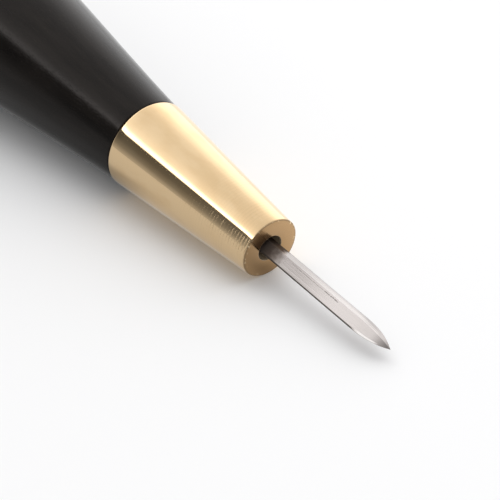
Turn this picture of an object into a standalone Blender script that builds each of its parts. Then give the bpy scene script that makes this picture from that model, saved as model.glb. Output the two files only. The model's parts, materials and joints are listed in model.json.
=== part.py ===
# Diamond awl with a replaceable blade: wooden handle, brass collet chuck and a diamond-section steel blade.
# Every piece is drawn about the tool's own axis: Z = 0 is where brass meets wood, and +Z runs to the point.
# The whole tool then lies on its side, on the swell of the handle and the front edge of the nose.
import math

import bmesh
import bpy
from mathutils import Matrix, Vector

# Driving dimensions, in millimetres
MM = 0.001
SIDES = 32
THREAD_SIDES = 24
PIN_SIDES = 12

NECK_RADIUS = 6.75
SWELL_RADIUS = 12.6
SWELL_Z = -60.0
BUTT_Z = -85.0
BUTT_FLAT_RADIUS = 3.5
NECK_FLARE = 0.10
HANDLE_FRONT_Z = -0.05
BORE_SPARE = 1.0
DRILL_POINT = 2.0

CAP_REAR_Z = 0.10
CAP_FRONT_Z = 27.5
CAP_REAR_RADIUS = 6.9
CAP_NOSE_RADIUS = 4.5
CAP_REAR_ROUND = 0.35
CAP_FRONT_CHAMFER = 0.12
MOUTH_RADIUS = 1.9

BLADE_TIP_Z = 51.3
BLADE_TANG_Z = -15.4
BLADE_HALF_WIDTH = 1.5
BLADE_HALF_THICK = 0.95
BLADE_LAND = 0.07
BLADE_SHARP_WIDTH = BLADE_HALF_WIDTH / (1.0 - BLADE_LAND / BLADE_HALF_THICK)
BLADE_POINT_LENGTH = 6.2
BLADE_POINT_CURVE = 2.5  # how full the spear point is
BLADE_TIP_SCALE = 0.03

PITCH = 1.0
THREAD_CREST_RADIUS = 4.95
THREAD_CORE_RADIUS = 4.4
THREAD_FLAT = 0.12
THREAD_GAP = 0.1
THREAD_START_Z = 1.3
THREAD_TURNS = 6
THREAD_SINK = 0.06
THREAD_BORE_GAP = 0.15
THREAD_ENTRY_GAP = 0.3
THREAD_RUN_OUT_TURNS = 2
FLANK = math.tan(math.radians(30))

FLANGE_RADIUS = 5.4
FLANGE_REAR_Z = -2.0
SHANK_RADIUS = 3.6
SHANK_REAR_Z = -24.0
CHUCK_FRONT_Z = 11.0
CHUCK_CHAMFER = 0.35
PILOT_RADIUS = 4.3
PILOT_REAR_Z = 8.2
SEAT_FRONT_RADIUS = 3.45
SEAT_REAR_Z = 1.0
SEAT_SLOPE = math.tan(math.radians(3))
TANG_BORE_RADIUS = 1.75
STOP_BORE_RADIUS = 2.06
STOP_BORE_FRONT_Z = -15.2
GLUE_GROOVE_DEPTH = 0.3
GLUE_GROOVE_WIDTH = 1.2
GLUE_GROOVES_Z = (-20.0, -14.0, -8.0)

CHAMBER_RADIUS = 4.0
CHAMBER_REAR_Z = 11.8
CHAMBER_FRONT_Z = 20.0
RING_GROOVE_RADIUS = 4.35
RING_GROOVE_Z = (13.1, 14.0)
RING_RADIUS = 3.85
RING_WIRE_RADIUS = 0.32
RING_GAP_ANGLE = math.radians(50)

COLLET_REAR_Z = 14.2
COLLET_FRONT_Z = 21.2
COLLET_RADIUS = 3.75
COLLET_NOSE_RADIUS = 2.3
FINGER_REAR_Z = 2.0
FINGER_GRIP_Z = 9.0
FINGER_FRONT_Z = 14.1
FINGER_ROOT_RADIUS = 2.6
FINGER_STEP = 0.8
FINGER_GAP = 0.06
SLOT_WIDTH = 0.9

PIN_RADIUS = 0.35
PIN_Z = 9.8
PIN_INNER_RADIUS = 1.95
STOP_RADIUS = 1.95
STOP_REAR_Z = -22.5
STOP_FRONT_Z = -15.6
STOP_SLOT_WIDTH = 0.6
STOP_SLOT_DEPTH = 0.9

FIT_GAP = 0.1
PIN_GAP = 0.05
CUT_OVER = 1.0


def clear_scene():
    for old in list(bpy.data.objects):
        bpy.data.objects.remove(old, do_unlink=True)


def new_collection(name):
    collection = bpy.data.collections.new(name)
    bpy.context.scene.collection.children.link(collection)
    return collection


def new_material(name, colour, roughness, metallic):
    material = bpy.data.materials.new(name)
    material.use_nodes = True
    shader = material.node_tree.nodes["Principled BSDF"]
    shader.inputs["Base Color"].default_value = (*colour, 1.0)
    shader.inputs["Roughness"].default_value = roughness
    shader.inputs["Metallic"].default_value = metallic
    return material


clear_scene()
PARTS = new_collection("diamond_awl")
CUTTERS = new_collection("diamond_awl_cutters")
EBONY = new_material("ebony", (0.022, 0.019, 0.016), 0.35, 0.0)
BRASS = new_material("polished_brass", (0.80, 0.57, 0.27), 0.14, 1.0)
STEEL = new_material("ground_steel", (0.56, 0.55, 0.54), 0.28, 1.0)

AXIS = bpy.data.objects.new("awl_axis", None)
PARTS.objects.link(AXIS)


def add_object(name, data, material=None):
    """Adds an object on the tool's axis; one without a material is a cutter."""
    piece = bpy.data.objects.new(name, data)
    piece.parent = AXIS
    if material is None:
        CUTTERS.objects.link(piece)
        piece.hide_render = True
        piece.display_type = "WIRE"
    else:
        PARTS.objects.link(piece)
        data.materials.append(material)
    return piece


def evaluated_mesh(piece):
    bpy.context.view_layer.update()
    seen = piece.evaluated_get(bpy.context.evaluated_depsgraph_get())
    return bpy.data.meshes.new_from_object(seen)


def freeze(piece):
    """Swaps an object's mesh and modifiers for the mesh that they make."""
    mesh = evaluated_mesh(piece)
    piece.modifiers.clear()
    piece.data = mesh


def shade(mesh):
    mesh.shade_smooth()
    mesh.set_sharp_from_angle(angle=math.radians(30))


def outline_mesh(name, outline, closed):
    """A chain of edges in the XZ plane through (radius, z) points in millimetres."""
    mesh = bpy.data.meshes.new(name)
    edges = [(i, i + 1) for i in range(len(outline) - 1)]
    if closed:
        edges.append((len(outline) - 1, 0))
    mesh.from_pydata([(r * MM, 0.0, z * MM) for r, z in outline], edges, [])
    return mesh


def add_screw(piece, sides, turns=1, pitch=0.0):
    screw = piece.modifiers.new("turn", "SCREW")
    screw.steps = sides
    screw.render_steps = sides
    screw.iterations = turns
    screw.screw_offset = pitch * MM
    screw.use_merge_vertices = pitch == 0.0
    screw.merge_threshold = 0.000001
    return screw


def turned(name, outline, material=None, closed=True):
    """A lathe-turned piece: the outline runs down its outer side and back up its bore."""
    piece = add_object(name, outline_mesh(name, outline, closed), material)
    add_screw(piece, SIDES)
    freeze(piece)
    # Half a side's turn puts a flat underneath, so that the piece lies still
    piece.data.transform(Matrix.Rotation(math.pi / SIDES, 4, "Z"))
    shade(piece.data)
    return piece


def helix(name, outline, start_z, turns):
    """A closed thread ridge: the outline swept along a right-hand helix and capped at both ends."""
    piece = add_object(name, outline_mesh(name, outline, True))
    add_screw(piece, THREAD_SIDES, turns, PITCH)
    freeze(piece)
    shell = bmesh.new()
    shell.from_mesh(piece.data)
    bmesh.ops.holes_fill(shell, edges=[e for e in shell.edges if e.is_boundary])
    bmesh.ops.recalc_face_normals(shell, faces=shell.faces)
    bmesh.ops.translate(shell, verts=shell.verts, vec=(0, 0, start_z * MM))
    shell.to_mesh(piece.data)
    shell.free()
    return piece


def thread_outline(base_radius, crest_radius, widen):
    """A 60 degree thread section between two radii, with both flanks moved out by widen."""
    def half_width(radius):
        return THREAD_FLAT + (THREAD_CREST_RADIUS - radius) * FLANK + widen

    base, crest = half_width(base_radius), half_width(crest_radius)
    return [(base_radius, base), (crest_radius, crest), (crest_radius, -crest), (base_radius, -base)]


def cut(piece, cutter, operation="DIFFERENCE"):
    step = piece.modifiers.new(cutter.name, "BOOLEAN")
    step.operation = operation
    step.solver = "EXACT"
    step.object = cutter
    freeze(piece)
    shade(piece.data)


def rod(name, radius, low, high, sides, material=None):
    """A plain cylinder along the tool's axis between two heights in millimetres."""
    mesh = bpy.data.meshes.new(name)
    shell = bmesh.new()
    bmesh.ops.create_cone(
        shell, cap_ends=True, segments=sides, radius1=radius * MM, radius2=radius * MM,
        depth=(high - low) * MM, matrix=Matrix.Translation((0, 0, (low + high) / 2 * MM)),
    )
    shell.to_mesh(mesh)
    shell.free()
    shade(mesh)
    return add_object(name, mesh, material)


def block(name, low, high):
    """A box cutter between two corners in millimetres."""
    low, high = Vector(low) * MM, Vector(high) * MM
    mesh = bpy.data.meshes.new(name)
    shell = bmesh.new()
    size = Matrix.Diagonal((*(high - low), 1.0))
    bmesh.ops.create_cube(shell, size=1.0, matrix=Matrix.Translation((low + high) / 2) @ size)
    shell.to_mesh(mesh)
    shell.free()
    return add_object(name, mesh)


def diamond_bar(name, stations, grow, material=None):
    """A bar of diamond section through (z, scale) stations; grow widens it on every face."""
    face_distance = BLADE_SHARP_WIDTH * BLADE_HALF_THICK / math.hypot(BLADE_SHARP_WIDTH, BLADE_HALF_THICK)
    wider = (1.0 + grow / face_distance) * MM
    corners = [
        (BLADE_HALF_THICK, 0.0), (BLADE_LAND, BLADE_HALF_WIDTH), (-BLADE_LAND, BLADE_HALF_WIDTH),
        (-BLADE_HALF_THICK, 0.0), (-BLADE_LAND, -BLADE_HALF_WIDTH), (BLADE_LAND, -BLADE_HALF_WIDTH),
    ]
    shell = bmesh.new()
    rims = []
    for z, scale in stations:
        ring = [shell.verts.new((x * wider * scale, y * wider * scale, z * MM)) for x, y in corners]
        rims.append([shell.edges.new((ring[i - 1], ring[i])) for i in range(len(ring))])
    for rear, front in zip(rims, rims[1:]):
        bmesh.ops.bridge_loops(shell, edges=rear + front)
    bmesh.ops.holes_fill(shell, edges=[e for e in shell.edges if e.is_boundary])
    bmesh.ops.recalc_face_normals(shell, faces=shell.faces)
    mesh = bpy.data.meshes.new(name)
    shell.to_mesh(mesh)
    shell.free()
    return add_object(name, mesh, material)


def handle_outer():
    """Outer outline of the handle: a long flare into the swell, then a quarter ellipse to the butt."""
    flare_points, butt_points = 10, 8
    length = HANDLE_FRONT_Z - SWELL_Z
    points = []
    for i in range(flare_points):
        t = i / flare_points
        ease = 3 * t**2 - 2 * t**3
        lead = NECK_FLARE * length * (t**3 - 2 * t**2 + t)
        radius = NECK_RADIUS + (SWELL_RADIUS - NECK_RADIUS) * ease + lead
        points.append((radius, HANDLE_FRONT_Z - t * length))
    last_angle = math.acos(BUTT_FLAT_RADIUS / SWELL_RADIUS)
    reach = (SWELL_Z - BUTT_Z) / math.sin(last_angle)
    for i in range(butt_points + 1):
        angle = last_angle * i / butt_points
        points.append((SWELL_RADIUS * math.cos(angle), SWELL_Z - reach * math.sin(angle)))
    return points


def make_handle():
    bore = [
        (0.0, SHANK_REAR_Z - BORE_SPARE - DRILL_POINT),
        (SHANK_RADIUS + FIT_GAP, SHANK_REAR_Z - BORE_SPARE),
        (SHANK_RADIUS + FIT_GAP, FLANGE_REAR_Z - FIT_GAP),
        (FLANGE_RADIUS + FIT_GAP, FLANGE_REAR_Z - FIT_GAP),
        (FLANGE_RADIUS + FIT_GAP, HANDLE_FRONT_Z),
    ]
    return turned("handle", bore + handle_outer() + [(0.0, BUTT_Z)], EBONY, closed=False)


def seat_radius(z):
    """Radius of the chuck's collet seat, which narrows towards the handle."""
    return SEAT_FRONT_RADIUS - (CHUCK_FRONT_Z - z) * SEAT_SLOPE


def make_chuck_body():
    outer = [
        (PILOT_RADIUS - CHUCK_CHAMFER, CHUCK_FRONT_Z),
        (PILOT_RADIUS, CHUCK_FRONT_Z - CHUCK_CHAMFER),
        (PILOT_RADIUS, PILOT_REAR_Z),
        (THREAD_CORE_RADIUS, PILOT_REAR_Z),
        (THREAD_CORE_RADIUS, HANDLE_FRONT_Z),
        (FLANGE_RADIUS, HANDLE_FRONT_Z),
        (FLANGE_RADIUS, FLANGE_REAR_Z),
        (SHANK_RADIUS, FLANGE_REAR_Z),
    ]
    for z in sorted(GLUE_GROOVES_Z, reverse=True):
        outer += [
            (SHANK_RADIUS, z + GLUE_GROOVE_WIDTH / 2),
            (SHANK_RADIUS - GLUE_GROOVE_DEPTH, z + GLUE_GROOVE_WIDTH / 4),
            (SHANK_RADIUS - GLUE_GROOVE_DEPTH, z - GLUE_GROOVE_WIDTH / 4),
            (SHANK_RADIUS, z - GLUE_GROOVE_WIDTH / 2),
        ]
    outer += [(SHANK_RADIUS, SHANK_REAR_Z + CHUCK_CHAMFER), (SHANK_RADIUS - CHUCK_CHAMFER, SHANK_REAR_Z)]
    bore = [
        (STOP_BORE_RADIUS, SHANK_REAR_Z),
        (STOP_BORE_RADIUS, STOP_BORE_FRONT_Z),
        (TANG_BORE_RADIUS, STOP_BORE_FRONT_Z),
        (TANG_BORE_RADIUS, SEAT_REAR_Z),
        (seat_radius(SEAT_REAR_Z), SEAT_REAR_Z),
        (SEAT_FRONT_RADIUS, CHUCK_FRONT_Z),
    ]
    body = turned("chuck_body", outer + bore, BRASS)
    section = thread_outline(THREAD_CORE_RADIUS - THREAD_SINK, THREAD_CREST_RADIUS, 0.0)
    ridge = helix("male_thread", section, THREAD_START_Z, THREAD_TURNS)
    cut(body, ridge, "UNION")
    hole = rod("key_pin_hole", PIN_RADIUS + PIN_GAP, TANG_BORE_RADIUS, PILOT_RADIUS + CUT_OVER, PIN_SIDES)
    lay_across(hole)
    cut(body, hole)
    return body


def lay_across(piece):
    """Turns a rod from the tool's axis to stand radially at the key pin's height."""
    piece.data.transform(Matrix.Translation((0, 0, PIN_Z * MM)) @ Matrix.Rotation(math.pi / 2, 4, "Y"))


def cap_outer():
    """Outer outline of the nose, from its front edge to its rounded rear edge."""
    round_points = 3
    points = [
        (CAP_NOSE_RADIUS - CAP_FRONT_CHAMFER, CAP_FRONT_Z),
        (CAP_NOSE_RADIUS, CAP_FRONT_Z - CAP_FRONT_CHAMFER),
    ]
    for i in range(round_points + 1):
        angle = math.pi / 2 * i / round_points
        points.append((
            CAP_REAR_RADIUS - CAP_REAR_ROUND * (1 - math.cos(angle)),
            CAP_REAR_Z + CAP_REAR_ROUND * (1 - math.sin(angle)),
        ))
    return points


def make_nose_cap():
    bore_radius = THREAD_CORE_RADIUS + THREAD_BORE_GAP
    entry_radius = THREAD_CREST_RADIUS + THREAD_ENTRY_GAP
    entry_z = THREAD_START_Z - THREAD_ENTRY_GAP
    ring_low, ring_high = RING_GROOVE_Z
    mouth_rear_z = CHAMBER_FRONT_Z + CHAMBER_RADIUS - MOUTH_RADIUS
    bore = [
        (entry_radius, CAP_REAR_Z),
        (entry_radius, entry_z),
        (bore_radius, entry_z),
        (bore_radius, CHAMBER_REAR_Z),
        (CHAMBER_RADIUS, CHAMBER_REAR_Z),
        (CHAMBER_RADIUS, ring_low),
        (RING_GROOVE_RADIUS, ring_low),
        (RING_GROOVE_RADIUS, ring_high),
        (CHAMBER_RADIUS, ring_high),
        (CHAMBER_RADIUS, CHAMBER_FRONT_Z),
        (MOUTH_RADIUS, mouth_rear_z),
        (MOUTH_RADIUS, CAP_FRONT_Z - CAP_FRONT_CHAMFER),
        (MOUTH_RADIUS + CAP_FRONT_CHAMFER, CAP_FRONT_Z),
    ]
    cap = turned("nose_cap", cap_outer() + bore, BRASS)
    section = thread_outline(bore_radius - THREAD_SINK, THREAD_CREST_RADIUS + THREAD_GAP, THREAD_GAP)
    groove = helix("female_thread", section, THREAD_START_Z - PITCH, THREAD_TURNS + THREAD_RUN_OUT_TURNS)
    cut(cap, groove)
    return cap


def make_collet_head():
    return turned("collet_head", [
        (COLLET_NOSE_RADIUS, COLLET_FRONT_Z),
        (COLLET_RADIUS, COLLET_FRONT_Z - COLLET_RADIUS + COLLET_NOSE_RADIUS),
        (COLLET_RADIUS, COLLET_REAR_Z),
        (TANG_BORE_RADIUS, COLLET_REAR_Z),
        (TANG_BORE_RADIUS, COLLET_FRONT_Z),
    ], BRASS)


def finger_hinge(sign_x, sign_y):
    """The middle of a finger's thin root, where it flexes to open square to its blade face."""
    out = Vector((sign_x * BLADE_SHARP_WIDTH, sign_y * BLADE_HALF_THICK, 0)).normalized()
    root = (TANG_BORE_RADIUS + FINGER_ROOT_RADIUS) / 2
    return (out * root + Vector((0, 0, FINGER_FRONT_Z))) * MM


def make_fingers():
    low, high = FINGER_REAR_Z - CUT_OVER, FINGER_FRONT_Z + CUT_OVER
    channel = diamond_bar("finger_channel", [(low, 1.0), (high, 1.0)], FINGER_GAP)
    relief = rod("finger_relief", TANG_BORE_RADIUS, FINGER_GRIP_Z, high, SIDES)
    outline = [
        (0.0, FINGER_FRONT_Z),
        (FINGER_ROOT_RADIUS, FINGER_FRONT_Z),
        (FINGER_ROOT_RADIUS, FINGER_GRIP_Z + FINGER_STEP),
        (seat_radius(FINGER_GRIP_Z) - FINGER_GAP, FINGER_GRIP_Z),
        (seat_radius(FINGER_REAR_Z) - FINGER_GAP, FINGER_REAR_Z),
        (0.0, FINGER_REAR_Z),
    ]
    near, far = SLOT_WIDTH / 2, SEAT_FRONT_RADIUS + CUT_OVER
    quadrants = [(1, 1), (1, -1), (-1, 1), (-1, -1)]
    for number, (sign_x, sign_y) in enumerate(quadrants, start=1):
        finger = turned(f"collet_finger_{number}", outline, STEEL, closed=False)
        xs = sorted((sign_x * near, sign_x * far))
        ys = sorted((sign_y * near, sign_y * far))
        quarter = block(f"finger_quarter_{number}", (xs[0], ys[0], low), (xs[1], ys[1], high))
        cut(finger, quarter, "INTERSECT")
        cut(finger, channel)
        cut(finger, relief)
        hinge = finger_hinge(sign_x, sign_y)
        finger.data.transform(Matrix.Translation(-hinge))
        finger.location = hinge


def make_snap_ring():
    """A wire ring with a gap, sprung into its groove in the cap."""
    curve = bpy.data.curves.new("snap_ring", "CURVE")
    curve.dimensions = "3D"
    curve.bevel_depth = RING_WIRE_RADIUS * MM
    curve.bevel_resolution = 2
    curve.use_fill_caps = True
    points = 25
    spline = curve.splines.new("POLY")
    spline.points.add(points - 1)
    for i, point in enumerate(spline.points):
        angle = RING_GAP_ANGLE / 2 + (2 * math.pi - RING_GAP_ANGLE) * i / (points - 1)
        point.co = (
            RING_RADIUS * math.cos(angle) * MM, RING_RADIUS * math.sin(angle) * MM,
            sum(RING_GROOVE_Z) / 2 * MM, 1.0,
        )
    return add_object("snap_ring", curve, STEEL)


def make_key_pin():
    pin = rod("key_pin", PIN_RADIUS, PIN_INNER_RADIUS, PILOT_RADIUS - PIN_GAP, PIN_SIDES, STEEL)
    lay_across(pin)
    return pin


def make_backstop_screw():
    screw = rod("backstop_screw", STOP_RADIUS, STOP_REAR_Z, STOP_FRONT_Z, SIDES, STEEL)
    half = STOP_SLOT_WIDTH / 2
    slot = block(
        "screwdriver_slot", (-half, -STOP_RADIUS - CUT_OVER, STOP_REAR_Z - CUT_OVER),
        (half, STOP_RADIUS + CUT_OVER, STOP_REAR_Z + STOP_SLOT_DEPTH),
    )
    cut(screw, slot)
    return screw


def make_blade():
    """Straight diamond bar, then a spear point whose edges and ridges curve in together."""
    steps = 8
    stations = [(BLADE_TANG_Z, 1.0), (BLADE_TIP_Z - BLADE_POINT_LENGTH, 1.0)]
    for i in range(1, steps + 1):
        t = i / steps
        scale = max(1.0 - t**BLADE_POINT_CURVE, BLADE_TIP_SCALE)
        stations.append((BLADE_TIP_Z - BLADE_POINT_LENGTH * (1 - t), scale))
    return diamond_bar("blade", stations, 0.0, STEEL)


def lie_angle():
    """How far the axis dips when the tool rests on its handle's swell and the nose's front edge."""
    nose_z = CAP_FRONT_Z - CAP_FRONT_CHAMFER
    flat = math.cos(math.pi / SIDES)
    return max(math.atan(flat * (r - CAP_NOSE_RADIUS) / (nose_z - z)) for r, z in handle_outer())


def lay_down():
    """Lays the tool along +X and puts the middle of its box's underside at the origin."""
    AXIS.rotation_euler = (0.0, math.pi / 2 + lie_angle(), 0.0)
    bpy.context.view_layer.update()
    graph = bpy.context.evaluated_depsgraph_get()
    corners = []
    for piece in PARTS.objects:
        if piece.type == "EMPTY":
            continue
        seen = piece.evaluated_get(graph)
        mesh = seen.to_mesh()
        corners += [seen.matrix_world @ vert.co for vert in mesh.vertices]
        seen.to_mesh_clear()
    xs, ys, zs = zip(*corners)
    AXIS.location = (-(min(xs) + max(xs)) / 2, -(min(ys) + max(ys)) / 2, -min(zs))


make_handle()
make_chuck_body()
make_backstop_screw()
make_key_pin()
make_collet_head()
make_fingers()
make_snap_ring()
make_nose_cap()
make_blade()
lay_down()
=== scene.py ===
# Diamond awl: finishes, fine pieces, studio and camera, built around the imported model
import json
import math

import bmesh
import bpy
from mathutils import Matrix, Vector


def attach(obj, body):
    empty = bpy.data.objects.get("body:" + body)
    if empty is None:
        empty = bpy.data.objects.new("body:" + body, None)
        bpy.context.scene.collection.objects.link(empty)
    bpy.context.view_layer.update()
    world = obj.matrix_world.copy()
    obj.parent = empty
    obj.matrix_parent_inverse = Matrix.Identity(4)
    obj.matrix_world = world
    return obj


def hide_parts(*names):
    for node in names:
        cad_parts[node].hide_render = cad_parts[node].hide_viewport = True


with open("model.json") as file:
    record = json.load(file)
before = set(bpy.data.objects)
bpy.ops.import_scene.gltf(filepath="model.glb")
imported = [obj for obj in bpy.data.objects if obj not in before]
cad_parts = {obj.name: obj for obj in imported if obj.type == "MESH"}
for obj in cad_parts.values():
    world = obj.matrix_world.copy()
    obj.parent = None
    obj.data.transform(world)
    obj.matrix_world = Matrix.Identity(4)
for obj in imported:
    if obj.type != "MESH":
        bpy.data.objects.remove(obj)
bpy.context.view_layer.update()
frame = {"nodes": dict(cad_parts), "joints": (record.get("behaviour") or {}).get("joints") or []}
mm = 0.001

# The tool's own axis: z = 0 where brass meets wood, +z to the point, x down, y level
capTurn = next(joint for joint in frame["joints"] if joint["name"] == "nose_cap_turn")
axisDir = Vector(capTurn["axis"]).normalized()
levelDir = Vector((0, 1, 0))
toolToWorld = Matrix((levelDir.cross(axisDir), levelDir, axisDir)).transposed().to_4x4()
toolToWorld.translation = Vector(capTurn["pos_m"])
print("tool axis", tuple(round(v, 4) for v in axisDir))


class Wire:
    # a node socket that can be written into sums
    def __init__(self, tree, socket=None):
        self.tree = tree
        self.socket = socket

    def make(self, kind, settings=None, inputs=None, out=0):
        node = self.tree.nodes.new(kind)
        for key, value in (settings or {}).items():
            if key == "stops":
                fillRamp(node.color_ramp, value)
            else:
                setattr(node, key, value)
        feed(node, inputs or {})
        return Wire(self.tree, node.outputs[out])

    def calc(self, operation, *values):
        return self.make("ShaderNodeMath", {"operation": operation}, dict(enumerate(values)))

    def __add__(self, other):
        return self.calc("ADD", self, other)

    def __sub__(self, other):
        return self.calc("SUBTRACT", self, other)

    def __rsub__(self, other):
        return self.calc("SUBTRACT", other, self)

    def __mul__(self, other):
        return self.calc("MULTIPLY", self, other)

    def __truediv__(self, other):
        return self.calc("DIVIDE", self, other)

    def __rtruediv__(self, other):
        return self.calc("DIVIDE", other, self)

    def __pow__(self, other):
        return self.calc("POWER", self, other)

    def __abs__(self):
        return self.calc("ABSOLUTE", self)

    __radd__ = __add__
    __rmul__ = __mul__

    def between(self, low, high):
        # 0 at low, 1 at high, eased at both ends
        return self.make("ShaderNodeMapRange", {"interpolation_type": "SMOOTHSTEP"},
                         {"Value": self, "From Min": low, "From Max": high})

    def blend(self, first, second):
        # first colour where self is 0, second where it is 1; the node's colours are at 6, 7 and out at 2
        return self.make("ShaderNodeMix", {"data_type": "RGBA"}, {0: self, 6: first, 7: second}, 2)

    def split(self):
        # the three parts of a vector
        return [self.make("ShaderNodeSeparateXYZ", None, {0: self}, part) for part in range(3)]


def feed(node, sockets):
    # wires are linked, plain values are set
    for name, value in sockets.items():
        target = node.inputs[name]
        if isinstance(value, Wire):
            value.tree.links.new(value.socket, target)
        else:
            target.default_value = value


def fillRamp(ramp, stops):
    while len(ramp.elements) < len(stops):
        ramp.elements.new(1.0)
    for element, (place, colour) in zip(ramp.elements, stops):
        element.position = place
        element.color = colour


def rgb(red, green, blue):
    return (red, green, blue, 1.0)


black = rgb(0, 0, 0)
white = rgb(1, 1, 1)


def startMaterial(name):
    material = bpy.data.materials.new(name)
    material.use_nodes = True
    tree = material.node_tree
    place = Wire(tree).make("ShaderNodeTexCoord", out="Object")
    return material, tree.nodes["Principled BSDF"], place


def toolAxes(place):
    # x, y and z along the tool's own axes, in millimetres
    spot = place.make("ShaderNodeMapping", {"vector_type": "TEXTURE"},
                      {"Vector": place, "Location": toolToWorld.translation,
                       "Rotation": toolToWorld.to_euler(), "Scale": (mm, mm, mm)})
    return spot.split()


def reach(x, y):
    return (x * x + y * y) ** 0.5


def grain(x, y, z, fineness):
    # noise in cycles per millimetre across and along the tool, then its detail
    across, along, detail = fineness
    spot = x.make("ShaderNodeCombineXYZ", None, {0: x * across, 1: y * across, 2: z * along})
    return x.make("ShaderNodeTexNoise", None, {"Vector": spot, "Scale": 1.0, "Detail": detail})


def bump(height, strength, distance):
    return height.make("ShaderNodeBump", None,
                       {"Strength": strength, "Distance": distance, "Height": height})


def addPiece(name, mesh, material, body, node):
    mesh.transform(toolToWorld)
    piece = bpy.data.objects.new(name, mesh)
    bpy.context.scene.collection.objects.link(piece)
    mesh.materials.append(material)
    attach(piece, body)
    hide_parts(node)


def finishMesh(name, shell, sharpDegrees=28):
    bmesh.ops.recalc_face_normals(shell, faces=shell.faces)
    mesh = bpy.data.meshes.new(name)
    shell.to_mesh(mesh)
    shell.free()
    mesh.shade_smooth()
    mesh.set_sharp_from_angle(angle=math.radians(sharpDegrees))
    return mesh


def lathe(name, profile, sides, closed=True, wave=None):
    # rings of (radius, z) points in millimetres, in order round the section
    # wave(radius, z, angle) may push a point in or out, as a thread does
    shell = bmesh.new()
    rings = []
    for radius, z in profile:
        if radius == 0:
            rings.append([shell.verts.new((0, 0, z * mm))])
            continue
        ring = []
        for side in range(sides):
            angle = 2 * math.pi * side / sides
            r = radius + (wave(radius, z, angle) if wave else 0.0)
            ring.append(shell.verts.new((r * math.cos(angle) * mm, r * math.sin(angle) * mm, z * mm)))
        rings.append(ring)
    pairs = list(zip(rings, rings[1:]))
    if closed:
        pairs.append((rings[-1], rings[0]))
    for upper, lower in pairs:
        for side in range(sides):
            after = (side + 1) % sides
            corners = [upper[side % len(upper)], lower[side % len(lower)],
                       lower[after % len(lower)], upper[after % len(upper)]]
            shell.faces.new(dict.fromkeys(corners))  # a triangle where a ring is one point
    return finishMesh(name, shell)


def spread(start, end, count):
    # points along a straight run, without its end
    return [(start[0] + (end[0] - start[0]) * i / count, start[1] + (end[1] - start[1]) * i / count)
            for i in range(count)]


def roundEdge(centre, radius, fromDegrees, toDegrees, count=6):
    steps = [math.radians(fromDegrees + (toDegrees - fromDegrees) * i / count) for i in range(count + 1)]
    return [(centre[0] + radius * math.cos(a), centre[1] + radius * math.sin(a)) for a in steps]


# Handle: dark close-grained hardwood, oiled to a satin
handle = {
    "neckRadius": 6.75, "swellRadius": 12.6, "swellZ": -60.0, "buttZ": -85.0,
    "buttFlat": 3.5, "buttSoft": 0.35, "flare": 0.10, "frontZ": -0.05, "edgeRound": 0.25,
    "flangeBore": 5.5, "flangeBoreZ": -2.1, "shankBore": 3.7, "shankBoreZ": -25.0, "drillZ": -27.0,
    "sides": 128, "flarePoints": 60, "buttPoints": 40, "softPoints": 8,
    "heartwood": rgb(0.0125, 0.0105, 0.0092), "darkwood": rgb(0.006, 0.0052, 0.0047),
    "streak": rgb(0.022, 0.017, 0.013), "sheen": rgb(1.0, 0.92, 0.88), "specular": 0.20,
    "bandGrain": (0.55, 0.018, 4.0), "bandEdge": (0.35, 0.68),
    "fibreGrain": (6.0, 0.16, 3.0), "streakEdge": (0.55, 0.85), "streakShare": 0.5,
    "poreGrain": (11.0, 0.7, 2.0), "poreEdge": (0.60, 0.72), "poreShare": 0.8,
    "roughness": 0.11, "fibreRough": 0.12, "poreRough": 0.15, "bump": (0.10, 0.00005),
}


def handleMaterial():
    h = handle
    material, shader, place = startMaterial("oiledHardwood")
    x, y, z = toolAxes(place)
    bands = grain(x, y, z, h["bandGrain"])
    fibres = grain(x, y, z, h["fibreGrain"])
    pores = grain(x, y, z, h["poreGrain"]).between(*h["poreEdge"])
    tone = bands.between(*h["bandEdge"]).blend(h["darkwood"], h["heartwood"])
    tone = (fibres.between(*h["streakEdge"]) * h["streakShare"]).blend(tone, h["streak"])
    tone = (pores * h["poreShare"]).blend(tone, h["darkwood"])
    feed(shader, {"Base Color": tone, "Specular IOR Level": h["specular"], "Specular Tint": h["sheen"],
                  "Roughness": h["roughness"] + fibres * h["fibreRough"] + pores * h["poreRough"],
                  "Normal": bump(fibres - pores, *h["bump"])})
    return material


def handleProfile():
    h = handle
    length = h["frontZ"] - h["swellZ"]
    outer = []
    for i in range(h["flarePoints"]):
        t = i / h["flarePoints"]
        lead = h["flare"] * length * (t ** 3 - 2 * t ** 2 + t)
        ease = 3 * t ** 2 - 2 * t ** 3
        outer.append((h["neckRadius"] + (h["swellRadius"] - h["neckRadius"]) * ease + lead,
                      h["frontZ"] - t * length))
    lastAngle = math.acos(h["buttFlat"] / h["swellRadius"])
    depth = (h["swellZ"] - h["buttZ"]) / math.sin(lastAngle)
    for i in range(h["buttPoints"] + 1):
        angle = lastAngle * i / h["buttPoints"]
        outer.append((h["swellRadius"] * math.cos(angle), h["swellZ"] - depth * math.sin(angle)))
    outer = [point for point in outer if point[1] > h["buttZ"] + h["buttSoft"]]
    start = outer[-1]
    corner = (h["buttFlat"], h["buttZ"])
    end = (h["buttFlat"] - h["buttSoft"], h["buttZ"])
    for i in range(1, h["softPoints"] + 1):
        t = i / h["softPoints"]
        outer.append(tuple((1 - t) ** 2 * a + 2 * t * (1 - t) * b + t ** 2 * c
                           for a, b, c in zip(start, corner, end)))
    edge = h["edgeRound"]
    front = roundEdge((h["neckRadius"] - edge, h["frontZ"] - edge), edge, 90, 0)
    outer = front + [point for point in outer if point[1] < h["frontZ"] - edge]
    bore = [(0, h["drillZ"]), (h["shankBore"], h["shankBoreZ"]), (h["shankBore"], h["flangeBoreZ"]),
            (h["flangeBore"], h["flangeBoreZ"]), (h["flangeBore"], h["frontZ"])]
    return bore + outer + [(0, h["buttZ"])]


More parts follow.
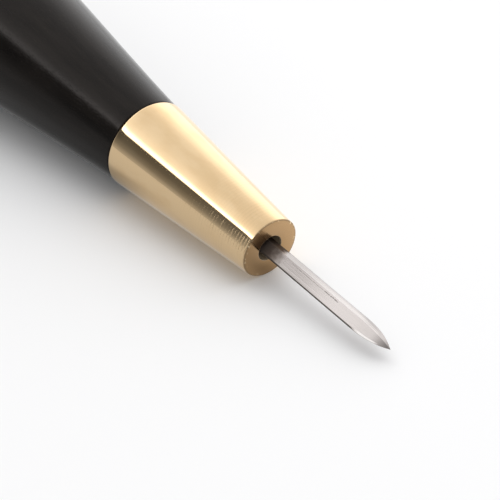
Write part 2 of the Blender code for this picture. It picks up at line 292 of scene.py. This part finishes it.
def makeHandle():
    mesh = lathe("turned_handle", handleProfile(), handle["sides"], closed=False)
    addPiece("turned_handle", mesh, handleMaterial(), "haft", "handle")


# Brass: polished on the nose, plainer on the pieces inside
# what is given as Behind runs from the first to the second distance behind the nose's face
brass = {
    "colour": rgb(0.912, 0.682, 0.412), "tarnish": rgb(0.80, 0.556, 0.30),
    "facedOff": rgb(0.466, 0.297, 0.148), "groove": rgb(0.34, 0.24, 0.13), "rimShade": rgb(0.24, 0.17, 0.10),
    "nick": rgb(0.93, 0.76, 0.50), "dust": rgb(0.42, 0.33, 0.225),
    "polished": 0.058, "turned": 0.22, "noseMarks": 0.30, "chuckMarks": 0.22, "colletMarks": 0.20,
    "lineGrain": (0.25, 14.0, 2.0), "lineShare": 0.12, "lineRough": 0.06, "lineHeight": 0.5,
    "cloudGrain": (0.36, 0.15, 3.0), "cloudEdge": (0.42, 0.72), "cloudShare": 0.50, "cloudRough": 0.05,
    "feedPitch": 0.46, "feedWaver": 3.0, "feedEdge": (-0.3, 0.7), "feedZ": (10.0, 25.0),
    "patchGrain": (0.3, 2.4, 2.0), "patchEdge": (0.35, 0.65), "patchFaint": 0.35,
    "feedShare": 0.04, "feedRough": 0.34, "feedHeight": 0.15, "bumpDistance": 0.00002,
    "scuffDegrees": 245, "scuffEdge": (0.955, 0.990), "rubbedZ": (23.0, 26.5), "rubbedRough": 0.16,
    "noFaceZ": 1000.0, "faceBehind": (0.06, 0.0), "faceRough": 0.10,
    "rimShadeRadius": (4.22, 4.36), "rimShadeBehind": (0.20, 0.10), "rimShadeShare": 0.5,
    "nickGrain": (2.2, 2.2, 2.0), "nickEdge": (0.60, 0.68), "nickRadius": (3.9, 4.35),
    "nickBehind": (0.3, 0.05), "nickShare": 0.7,
    "mouthRadius": (1.93, 2.02), "mouthBehind": (7.0, 6.0), "dustCover": 0.9, "dustRough": 0.45,
}


def brassMaterial(name, roughness, marks, faceZ=brass["noFaceZ"]):
    # turned brass; in front of faceZ the flat is faced off duller and browner
    b = brass
    material, shader, place = startMaterial(name)
    x, y, z = toolAxes(place)
    r = reach(x, y)
    along = z + r

    def behind(distances):
        return z.between(faceZ - distances[0], faceZ - distances[1])

    lines = grain(x, y, along, b["lineGrain"])
    cloud = grain(x, y, z, b["cloudGrain"])
    tarnish = cloud.between(*b["cloudEdge"]) * b["cloudShare"] + lines * b["lineShare"]
    tone = tarnish.blend(b["colour"], b["tarnish"])
    face = behind(b["faceBehind"])
    # feed marks of the lathe, in patches and plainest near the front
    ripple = along.calc("SINE", along * (2 * math.pi / b["feedPitch"]) + cloud * b["feedWaver"])
    patches = grain(x, y, along, b["patchGrain"]).between(*b["patchEdge"])
    patches = b["patchFaint"] + patches * (1 - b["patchFaint"])
    worked = ripple.between(*b["feedEdge"]) * patches * z.between(*b["feedZ"]) * (1 - face)
    tone = (worked * b["feedShare"]).blend(tone, b["groove"])
    # rubbed along one side, and dullest at its front end
    turn = math.radians(b["scuffDegrees"])
    scuff = ((x * math.cos(turn) + y * math.sin(turn)) / r).between(*b["scuffEdge"])
    rubbed = scuff * z.between(*b["rubbedZ"]) * (1 - face)
    # the faced-off front, painted shade round its outer rim, small knocks round that and a dusty mouth
    tone = face.blend(tone, b["facedOff"])
    # painted shade: a darker ring near the face's outer edge
    rimShade = r.between(*b["rimShadeRadius"]) * behind(b["rimShadeBehind"])
    tone = (rimShade * b["rimShadeShare"]).blend(tone, b["rimShade"])
    nicks = grain(x, y, z, b["nickGrain"]).between(*b["nickEdge"])
    nicks = nicks * r.between(*b["nickRadius"]) * behind(b["nickBehind"])
    tone = (nicks * b["nickShare"]).blend(tone, b["nick"])
    mouth = (1 - r.between(*b["mouthRadius"])) * behind(b["mouthBehind"])
    tone = mouth.blend(tone, b["dust"])
    rough = roughness + (lines - 0.5) * b["lineRough"] + (cloud - 0.5) * b["cloudRough"]
    rough = rough + face * b["faceRough"] + worked * scuff * b["feedRough"]
    rough = rough + mouth * b["dustRough"] + rubbed * b["rubbedRough"]
    height = lines * b["lineHeight"] + worked * b["feedHeight"]
    feed(shader, {"Base Color": tone, "Metallic": 1 - mouth * b["dustCover"], "Roughness": rough,
                  "Normal": bump(height, marks, b["bumpDistance"])})
    return material


# Nose cap: a straight brass cone, threaded inside, with a flat polished face and a round mouth
nose = {
    "rearZ": 0.10, "frontZ": 27.5, "rearRadius": 6.9, "noseRadius": 4.5, "coneDegrees": 5,
    "rearRound": 0.35, "frontRound": 0.10, "faceInset": 0.02,
    "entryRadius": 5.25, "threadZ": 1.0, "threadEndZ": 9.3, "boreRadius": 4.55, "rootRadius": 5.05,
    "chamberZ": (11.8, 20.0), "chamberRadius": 4.0, "grooveZ": (13.1, 14.0), "grooveRadius": 4.35,
    "mouthRadius": 1.9, "mouthRearZ": 22.1, "mouthRound": 0.08,
    "sides": 160, "frontPoints": 5, "conePoints": 24, "rearPoints": 8, "mouthPoints": 4,
}
thread = {
    "pitch": 1.0, "startZ": 1.3, "endZ": 7.3, "crest": 4.95, "core": 4.4, "flat": 0.12, "gap": 0.1,
    "flank": math.tan(math.radians(30)), "pointsPerTurn": 14, "runOut": 0.35,
}


def threadHeight(z, angle, widen):
    # how far the ridge stands at a point: 1 on its crest, 0 in the root, along a right-hand helix
    t = thread
    offset = (z - t["startZ"] - t["pitch"] * angle / (2 * math.pi)) % t["pitch"]
    offset = min(offset, t["pitch"] - offset)
    depth = t["crest"] - t["core"]
    return max(0.0, min(1.0, 1.0 - (offset - t["flat"] - widen) / (depth * t["flank"])))


def noseProfile():
    n = nose
    lowGroove, highGroove = n["grooveZ"]
    rearChamber, frontChamber = n["chamberZ"]
    edge = n["frontRound"]
    outer = roundEdge((n["noseRadius"] - edge, n["frontZ"] - edge), edge,
                      90, n["coneDegrees"], n["frontPoints"])
    edge = n["rearRound"]
    rear = roundEdge((n["rearRadius"] - edge, n["rearZ"] + edge), edge,
                     n["coneDegrees"], -90, n["rearPoints"])
    outer += spread(outer[-1], rear[0], n["conePoints"])[1:] + rear
    threadCount = int((n["threadEndZ"] - n["threadZ"]) / thread["pitch"] * thread["pointsPerTurn"])
    bore = [(n["entryRadius"], n["rearZ"]), (n["entryRadius"], n["threadZ"])]
    bore += spread((n["boreRadius"], n["threadZ"]), (n["boreRadius"], n["threadEndZ"]), threadCount)
    bore += [(n["boreRadius"], n["threadEndZ"]), (n["boreRadius"], rearChamber),
             (n["chamberRadius"], rearChamber), (n["chamberRadius"], lowGroove),
             (n["grooveRadius"], lowGroove), (n["grooveRadius"], highGroove),
             (n["chamberRadius"], highGroove), (n["chamberRadius"], frontChamber),
             (n["mouthRadius"], n["mouthRearZ"])]
    lip = n["mouthRound"]
    bore += roundEdge((n["mouthRadius"] + lip, n["frontZ"] - lip), lip, 180, 90, n["mouthPoints"])
    return outer + bore


def noseWave(radius, z, angle):
    n = nose
    if radius != n["boreRadius"] or not n["threadZ"] < z < n["threadEndZ"]:
        return 0.0
    fade = min(1.0, (n["threadEndZ"] - z) / thread["runOut"])
    return threadHeight(z, angle, thread["gap"]) * (n["rootRadius"] - n["boreRadius"]) * fade


def makeNose():
    mesh = lathe("brass_nose", noseProfile(), nose["sides"], wave=noseWave)
    faceZ = nose["frontZ"] - nose["faceInset"]
    material = brassMaterial("polishedBrass", brass["polished"], brass["noseMarks"], faceZ)
    addPiece("brass_nose", mesh, material, "nose", "nose_cap")


# Blade: diamond bar, ground lengthwise, with dark lands on its edges and a honed spear point
# what is given as Across runs from -1 on one edge to 1 on the other, Behind is behind the tip
blade = {
    "tipZ": 51.3, "tangZ": -15.4, "halfWidth": 1.5, "halfThick": 0.95, "land": 0.07,
    "pointLength": 6.2, "pointStart": (0.0, 0.01), "tipScale": 0.02, "curve": 2.5,
    "pointStations": 36, "shankStations": 12, "sharpDegrees": 24,
    "steel": rgb(0.738, 0.685, 0.663), "dull": rgb(0.446, 0.408, 0.390), "scale": rgb(0.09, 0.076, 0.067),
    "stainAndShade": rgb(0.054, 0.034, 0.023), "bright": rgb(0.98, 0.94, 0.92), "shade": rgb(0.43, 0.394, 0.378),
    "paintedTipShade": rgb(0.165, 0.15, 0.14), "roughness": 0.24,
    "grindGrain": (16.0, 0.10, 3.0), "grindEdge": (0.40, 0.70), "grindShare": 0.7, "grindRough": 0.2,
    "fineGrain": (34.0, 0.35, 2.0), "cloudGrain": (0.5, 0.12, 3.0), "cloudRough": 0.08,
    "honedZ": (32.0, 42.0), "honedClean": 0.8, "honedSmooth": 0.08, "dullShare": 0.75,
    "landAcross": (0.913, 0.9478), "landFarAcross": (-0.1, 0.1), "landFarFaint": 0.45,
    "landEndBehind": (6.1, 5.1), "landShare": 0.95, "landRough": 0.3,
    "highlightAcross": (0.79, 0.89), "highlightStartBehind": (5.7, 4.2), "highlightEndBehind": (2.5, 1.3),
    "flankAcross": (0.45, 0.75), "flankShare": 0.45, "flankTipBehind": (8.3, 4.3), "flankTipShare": 0.6,
    "tipBehind": (3.2, 1.4), "tipShare": 0.85, "paintedTipShadeBehind": (2.2, 0.3), "paintedTipShadeShare": 0.85,
    "farTipAcross": (0.0, 0.2), "farTipBehind": (6.3, 3.8), "farTipShare": 0.7,
    "stainAndShadeGrain": (1.6, 1.1, 3.0), "stainAndShadeWander": 2.4, "stainAndShadeEndZ": (28.3, 31.4),
    "farAcross": (-0.1, 0.2), "stainAndShadeFarEndZ": (29.5, 30.3), "insideZ": (20.0, 27.0), "insideShare": 0.5,
    "stainAndShadeAcross": (-0.2, 0.5), "stainAndShadeNearShare": 0.86, "stainAndShadeCover": 0.33, "stainAndShadeRough": 0.3,
    "grindHeight": 0.7, "fineHeight": 0.3, "bump": (0.16, 0.00003),
    "scratch": {"faintZ": (31.5, 33.0), "deepZ": (38.3, 39.3), "endZ": (41.2, 41.6), "faint": 0.3,
                "y": -0.25, "half": 0.10, "wander": 0.18, "wanderGrain": (0.0, 0.9, 2.0),
                "breakGrain": (0.0, 2.6, 2.0), "breakEdge": (0.36, 0.56), "share": 0.9},
}


def bladeScratch(x, y, z):
    # one thin broken line along the bar, faint towards the nose
    cut = blade["scratch"]
    depth = z.between(*cut["faintZ"]) * cut["faint"] + z.between(*cut["deepZ"]) * (1 - cut["faint"])
    wander = (grain(x, y, z, cut["wanderGrain"]) - 0.5) * cut["wander"]
    broken = grain(x, y, z, cut["breakGrain"]).between(*cut["breakEdge"])
    line = (1 - abs(y - cut["y"] - wander).between(0.0, cut["half"])) * depth * broken
    return line * (1 - z.between(*cut["endZ"])) * cut["share"]


def bladeMaterial():
    b = blade
    material, shader, place = startMaterial("groundSteel")
    x, y, z = toolAxes(place)

    def behind(distances):
        return z.between(b["tipZ"] - distances[0], b["tipZ"] - distances[1])

    grind = grain(x, y, z, b["grindGrain"])
    fine = grain(x, y, z, b["fineGrain"])
    cloud = grain(x, y, z, b["cloudGrain"])
    honed = z.between(*b["honedZ"])
    ahead = z - (b["tipZ"] - b["pointLength"])
    spear = ahead.between(*b["pointStart"]) * ahead / b["pointLength"]
    across = y / (b["halfWidth"] * (1 - spear ** b["curve"]))  # -1 and 1 at the edges, 0 on the ridge
    worn = grind.between(*b["grindEdge"]) * (1 - honed * b["honedClean"]) * b["grindShare"]
    tone = (worn + (1 - honed) * b["dullShare"]).blend(b["steel"], b["dull"])
    # painted shade on the far flank, on the far side near the tip and towards the tip, a painted highlight
    # along one edge of the spear, and painted shade darkest at the point
    flank = b["flankShare"] + behind(b["flankTipBehind"]) * b["flankTipShare"]
    shade = across.between(*b["flankAcross"]) * flank + behind(b["tipBehind"]) * b["tipShare"]
    farTip = across.between(*b["farTipAcross"]) * behind(b["farTipBehind"])
    tone = (shade + farTip * b["farTipShare"]).blend(tone, b["shade"])
    # painted highlight: a bright line along one edge of the spear
    edge = (0 - across).between(*b["highlightAcross"]) * behind(b["highlightStartBehind"])
    tone = (edge * (1 - behind(b["highlightEndBehind"]))).blend(tone, b["bright"])
    # painted shade: the point turns dark grey
    tone = (behind(b["paintedTipShadeBehind"]) * b["paintedTipShadeShare"]).blend(tone, b["paintedTipShade"])
    # patchy dark band at the root: painted shade of the nose's dark mouth, with a rougher, less metallic
    # stain; it ends more sharply on the far side
    patchy = (grain(x, y, z, b["stainAndShadeGrain"]) - 0.5) * b["stainAndShadeWander"]
    farSide = across.between(*b["farAcross"])
    ends = [near + farSide * (far - near) for near, far in zip(b["stainAndShadeEndZ"], b["stainAndShadeFarEndZ"])]
    root = 1 - (z + patchy).between(*ends)
    root = root * (b["insideShare"] + z.between(*b["insideZ"]) * (1 - b["insideShare"]))
    cover = b["stainAndShadeNearShare"] + across.between(*b["stainAndShadeAcross"]) * (1 - b["stainAndShadeNearShare"])
    # painted shade of the mouth, with stain, laid over the root
    tone = (root * cover).blend(tone, b["stainAndShade"])
    # dark lands along both edges up to the spear, fainter on the far one, and the scratch
    land = abs(across).between(*b["landAcross"])
    land = land * (1 - across.between(*b["landFarAcross"]) * b["landFarFaint"])
    land = land * (1 - behind(b["landEndBehind"]))
    tone = (land * b["landShare"] + bladeScratch(x, y, z)).blend(tone, b["scale"])
    rough = b["roughness"] + (grind - 0.5) * b["grindRough"] - honed * b["honedSmooth"]
    rough = rough + (cloud - 0.5) * b["cloudRough"] + land * b["landRough"] + root * b["stainAndShadeRough"]
    height = grind * b["grindHeight"] + fine * b["fineHeight"]
    feed(shader, {"Base Color": tone, "Metallic": 1 - root * b["stainAndShadeCover"], "Roughness": rough,
                  "Normal": bump(height, *b["bump"])})
    return material


def bladeStations():
    b = blade
    shoulder = b["tipZ"] - b["pointLength"]
    stations = [(b["tangZ"] + (shoulder - b["tangZ"]) * i / b["shankStations"], 1.0)
                for i in range(b["shankStations"])]
    for i in range(b["pointStations"] + 1):
        t = i / b["pointStations"]
        stations.append((shoulder + b["pointLength"] * t, max(1 - t ** b["curve"], b["tipScale"])))
    return stations


def makeBlade():
    b = blade
    corners = [(b["halfThick"], 0), (b["land"], b["halfWidth"]), (-b["land"], b["halfWidth"]),
               (-b["halfThick"], 0), (-b["land"], -b["halfWidth"]), (b["land"], -b["halfWidth"])]
    shell = bmesh.new()
    rims = []
    for z, scale in bladeStations():
        rims.append([shell.verts.new((x * scale * mm, y * scale * mm, z * mm)) for x, y in corners])
    for rear, front in zip(rims, rims[1:]):
        for i in range(len(corners)):
            shell.faces.new((rear[i - 1], rear[i], front[i], front[i - 1]))
    shell.faces.new(rims[0])
    shell.faces.new(rims[-1])
    mesh = finishMesh("diamond_blade", shell, b["sharpDegrees"])
    addPiece("diamond_blade", mesh, bladeMaterial(), "awl_blade", "blade")


# Chuck body: brass insert glued into the handle, its threaded neck inside the nose
chuck = {
    "frontZ": 11.0, "chamfer": 0.35, "pilotRadius": 4.3, "pilotZ": 8.2, "flangeRadius": 5.4,
    "flangeZ": (-0.05, -2.0), "shankRadius": 3.6, "rearZ": -24.0, "seatRadius": 3.45,
    "seatRearRadius": 2.926, "seatRearZ": 1.0, "tangBore": 1.75, "stopBore": 2.06, "stopBoreZ": -15.2,
    "grooves": (-8.0, -14.0, -20.0), "grooveWidth": 1.2, "grooveDepth": 0.3, "sides": 96,
}


def chuckProfile():
    c, t = chuck, thread
    frontFlange, rearFlange = c["flangeZ"]
    neckTop, neckFoot = (t["core"], c["pilotZ"]), (t["core"], frontFlange)
    outer = [(c["pilotRadius"] - c["chamfer"], c["frontZ"]), (c["pilotRadius"], c["frontZ"] - c["chamfer"]),
             (c["pilotRadius"], c["pilotZ"])]
    outer += spread(neckTop, neckFoot, int((c["pilotZ"] - frontFlange) * t["pointsPerTurn"]))
    outer += [neckFoot, (c["flangeRadius"], frontFlange), (c["flangeRadius"], rearFlange),
              (c["shankRadius"], rearFlange)]
    half, deep = c["grooveWidth"] / 2, c["shankRadius"] - c["grooveDepth"]
    for z in c["grooves"]:
        outer += [(c["shankRadius"], z + half), (deep, z + half / 2),
                  (deep, z - half / 2), (c["shankRadius"], z - half)]
    outer += [(c["shankRadius"], c["rearZ"] + c["chamfer"]), (c["shankRadius"] - c["chamfer"], c["rearZ"])]
    bore = [(c["stopBore"], c["rearZ"]), (c["stopBore"], c["stopBoreZ"]), (c["tangBore"], c["stopBoreZ"]),
            (c["tangBore"], c["seatRearZ"]), (c["seatRearRadius"], c["seatRearZ"]),
            (c["seatRadius"], c["frontZ"])]
    return outer + bore


def chuckWave(radius, z, angle):
    t = thread
    low, high = t["startZ"] - t["pitch"] / 2, t["endZ"] + t["pitch"] / 2
    if radius != t["core"] or not low < z < high:
        return 0.0
    fade = min(1.0, (z - low) / t["runOut"], (high - z) / t["runOut"])
    return threadHeight(z, angle, 0.0) * (t["crest"] - t["core"]) * fade


def makeChuck():
    mesh = lathe("threaded_chuck", chuckProfile(), chuck["sides"], wave=chuckWave)
    material = brassMaterial("turnedBrass", brass["turned"], brass["chuckMarks"])
    addPiece("threaded_chuck", mesh, material, "haft", "chuck_body")


# Small inner pieces keep their solids and get their finishes
innerSteel = {
    "bright": rgb(0.50, 0.49, 0.48), "dark": rgb(0.34, 0.33, 0.32),
    "lineGrain": (9.0, 0.6, 3.0), "lineEdge": (0.3, 0.75), "lineRough": 0.15, "bump": (0.12, 0.00002),
    "roughness": {"collet_finger_1": 0.30, "collet_finger_2": 0.30, "collet_finger_3": 0.30,
                  "collet_finger_4": 0.30, "snap_ring": 0.26, "key_pin": 0.28, "backstop_screw": 0.34},
}


def innerSteelMaterial(name, roughness):
    s = innerSteel
    material, shader, place = startMaterial(name)
    x, y, z = toolAxes(place)
    lines = grain(x, y, z, s["lineGrain"])
    tone = lines.between(*s["lineEdge"]).blend(s["bright"], s["dark"])
    feed(shader, {"Base Color": tone, "Metallic": 1.0, "Normal": bump(lines, *s["bump"]),
                  "Roughness": roughness + (lines - 0.5) * s["lineRough"]})
    return material


def dress(node, material):
    piece = frame["nodes"][node]
    piece.data.materials.clear()
    piece.data.materials.append(material)


def dressInnerPieces():
    for node, roughness in innerSteel["roughness"].items():
        dress(node, innerSteelMaterial("steel_" + node, roughness))
    dress("collet_head", brassMaterial("colletBrass", brass["turned"], brass["colletMarks"]))


# Studio: white table, one broad lamp from behind, and a room for the brass to mirror
# lengths are in metres; a ramp gives the room's brightness from level, 0, to straight up, 1
studio = {
    "floorSize": 4.0, "floorZ": -0.00006, "floorRough": 0.7, "fadeOut": (0.16, 0.50),
    "white": rgb(0.925, 0.925, 0.93), "grey": rgb(0.22, 0.215, 0.21), "greyGlow": 0.39, "whiteGlow": 0.12,
    "greyEdge": (-0.004, 0.012), "aheadX": (0.050, 0.060),
    "shadeX": (0.012, 0.024), "shadeY": (-0.016, -0.009), "shadeDepth": 0.5,
    "footSpot": (0.0448, 0.0003, 0.0), "footReach": (0.0, 0.003), "footDepth": 0.5,
    "ambient": 0.57, "leftDir": (-0.45, -0.89), "frontDir": (0.77, -0.63), "leastLevel": 0.0001,
    "leftSpread": (0.0, 0.6), "frontSpread": (0.0, 0.85), "frontTop": (0.573, 0.593), "frontLevel": 0.40,
    "highSpread": (0.7, 0.95), "highTop": (0.80, 0.92), "highShare": 0.5, "rampTop": 3.0,
    "backRamp": ((0.0, 1.65), (0.33, 1.65), (0.50, 1.50), (0.63, 1.28),
                 (0.75, 1.02), (0.84, 0.93), (1.0, 0.82)),
    "leftRamp": ((0.0, 0.45), (0.19, 0.19), (0.37, 0.09), (0.573, 0.07), (0.583, 2.8), (0.653, 2.8),
                 (0.72, 1.32), (0.78, 1.12), (0.86, 1.00), (0.93, 0.885), (1.0, 0.81)),
    "keyFrom": (-0.35, 0.62, 0.76), "keyDistance": 0.9, "keySize": 2.2, "keyPower": 16.6,
}


def tableMaterial():
    s = studio
    material, shader, place = startMaterial("whiteTable")
    x, y = place.split()[:2]
    camera = place.make("ShaderNodeLightPath", out="Is Camera Ray")
    glossy = place.make("ShaderNodeLightPath", out="Is Glossy Ray")
    # mirrored rays see painted shade: a grey table on the near side of the tool and ahead of its point,
    # white behind it
    far = y.between(*s["greyEdge"]) * (1 - x.between(*s["aheadX"]))
    foot = place.make("ShaderNodeVectorMath", {"operation": "DISTANCE"},
                      {0: place, 1: s["footSpot"]}, "Value")
    foot = 1 - foot.between(*s["footReach"])
    beside = (1 - x.between(*s["shadeX"])) * y.between(*s["shadeY"])
    lit = (1 - foot * s["footDepth"]) * (1 - beside * s["shadeDepth"])  # dimmer where the tool shades it
    # painted light: for glossy rays the table glows, less in the painted shade at the nose's foot and
    # beside the tool
    glow = glossy * (1 - camera) * ((1 - far) * lit * s["greyGlow"] + far * s["whiteGlow"])
    away = reach(x, y).between(*s["fadeOut"]) * camera  # plain white far from the tool
    mirrored = far.blend(s["grey"], s["white"])
    seen = away.blend(s["white"], black)
    feed(shader, {"Base Color": camera.blend(mirrored, seen), "Roughness": s["floorRough"],
                  "Specular IOR Level": 0.0, "Emission Color": (glow + away).blend(black, white),
                  "Emission Strength": 1.0})
    return material


def makeFloor():
    half = studio["floorSize"] / 2
    corners = [(-half, -half, 0), (half, -half, 0), (half, half, 0), (-half, half, 0)]
    mesh = bpy.data.meshes.new("table_top")
    mesh.from_pydata(corners, [], [(0, 1, 2, 3)])
    mesh.materials.append(tableMaterial())
    floor = bpy.data.objects.new("table_top", mesh)
    bpy.context.scene.collection.objects.link(floor)
    floor.location.z = studio["floorZ"]


def makeWorld():
    s = studio
    world = bpy.data.worlds.new("whiteRoom")
    bpy.context.scene.world = world
    world.use_nodes = True
    look = Wire(world.node_tree).make("ShaderNodeTexCoord", out="Generated")
    x, y, rise = look.split()
    level = reach(x, y) + s["leastLevel"]

    def facing(key):
        return (x * s[key][0] + y * s[key][1]) / level

    def wall(key):
        stops = [(place, rgb(*[glow / s["rampTop"]] * 3)) for place, glow in s[key]]
        return rise.make("ShaderNodeValToRGB", {"stops": stops}, {"Fac": rise}) * s["rampTop"]

    left = facing("leftDir").between(*s["leftSpread"])
    ahead = facing("frontDir")
    above = rise.between(*s["frontTop"])
    front = ahead.between(*s["frontSpread"]) * (1 - above)  # the near side of the room is dimmer
    high = ahead.between(*s["highSpread"]) * above * (1 - rise.between(*s["highTop"]))
    front = front + high * s["highShare"]
    room = wall("backRamp") * (1 - left) + wall("leftRamp") * left
    room = room * (1 - front) + front * s["frontLevel"]
    camera = rise.make("ShaderNodeLightPath", out="Is Camera Ray")
    glossy = rise.make("ShaderNodeLightPath", out="Is Glossy Ray")
    strength = glossy * room + (1 - glossy) * s["ambient"]
    feed(world.node_tree.nodes["Background"],
         {"Color": white, "Strength": camera + (1 - camera) * strength})


def makeKeyLamp():
    s = studio
    lamp = bpy.data.lights.new("back_window", "AREA")
    lamp.shape = "SQUARE"
    lamp.size = s["keySize"]
    lamp.energy = s["keyPower"]
    window = bpy.data.objects.new("back_window", lamp)
    bpy.context.scene.collection.objects.link(window)
    place = Vector(s["keyFrom"]).normalized() * s["keyDistance"]
    window.location = place
    window.rotation_euler = (-place).to_track_quat("-Z", "Y").to_euler()
    window.visible_glossy = False
    window.visible_camera = False


# Camera: the angle of the photograph, with the middle of the nose's face at its place in the picture
view = {
    "azimuth": 50.71, "elevation": 36.21, "distance": 0.2397, "focalPixels": 1800.0, "imageSize": 500,
    "nosePixel": (270.0, 248.0), "sensor": 36.0, "clipStart": 0.01,
}


def makeCamera():
    v = view
    turn, tilt = math.radians(v["azimuth"]), math.radians(v["elevation"])
    back = Vector((math.sin(turn) * math.cos(tilt), -math.cos(turn) * math.cos(tilt), math.sin(tilt)))
    right = Vector((math.cos(turn), math.sin(turn), 0))
    up = back.cross(right)
    centre = v["imageSize"] / 2
    aside = [(pixel - centre) / v["focalPixels"] * v["distance"] for pixel in v["nosePixel"]]
    noseFace = toolToWorld @ Vector((0, 0, nose["frontZ"] * mm))
    lens = bpy.data.cameras.new("photo_camera")
    lens.sensor_width = v["sensor"]
    lens.lens = v["focalPixels"] / v["imageSize"] * v["sensor"]
    lens.clip_start = v["clipStart"]
    camera = bpy.data.objects.new("photo_camera", lens)
    bpy.context.scene.collection.objects.link(camera)
    camera.matrix_world = Matrix((right, up, back)).transposed().to_4x4()
    camera.location = noseFace - right * aside[0] + up * aside[1] + back * v["distance"]
    bpy.context.scene.camera = camera


makeCamera()
print("camera set")
makeHandle()
makeNose()
makeBlade()
makeChuck()
dressInnerPieces()
print("pieces made")
makeFloor()
makeWorld()
makeKeyLamp()
bpy.context.scene.view_settings.view_transform = "Standard"
print("studio lit")
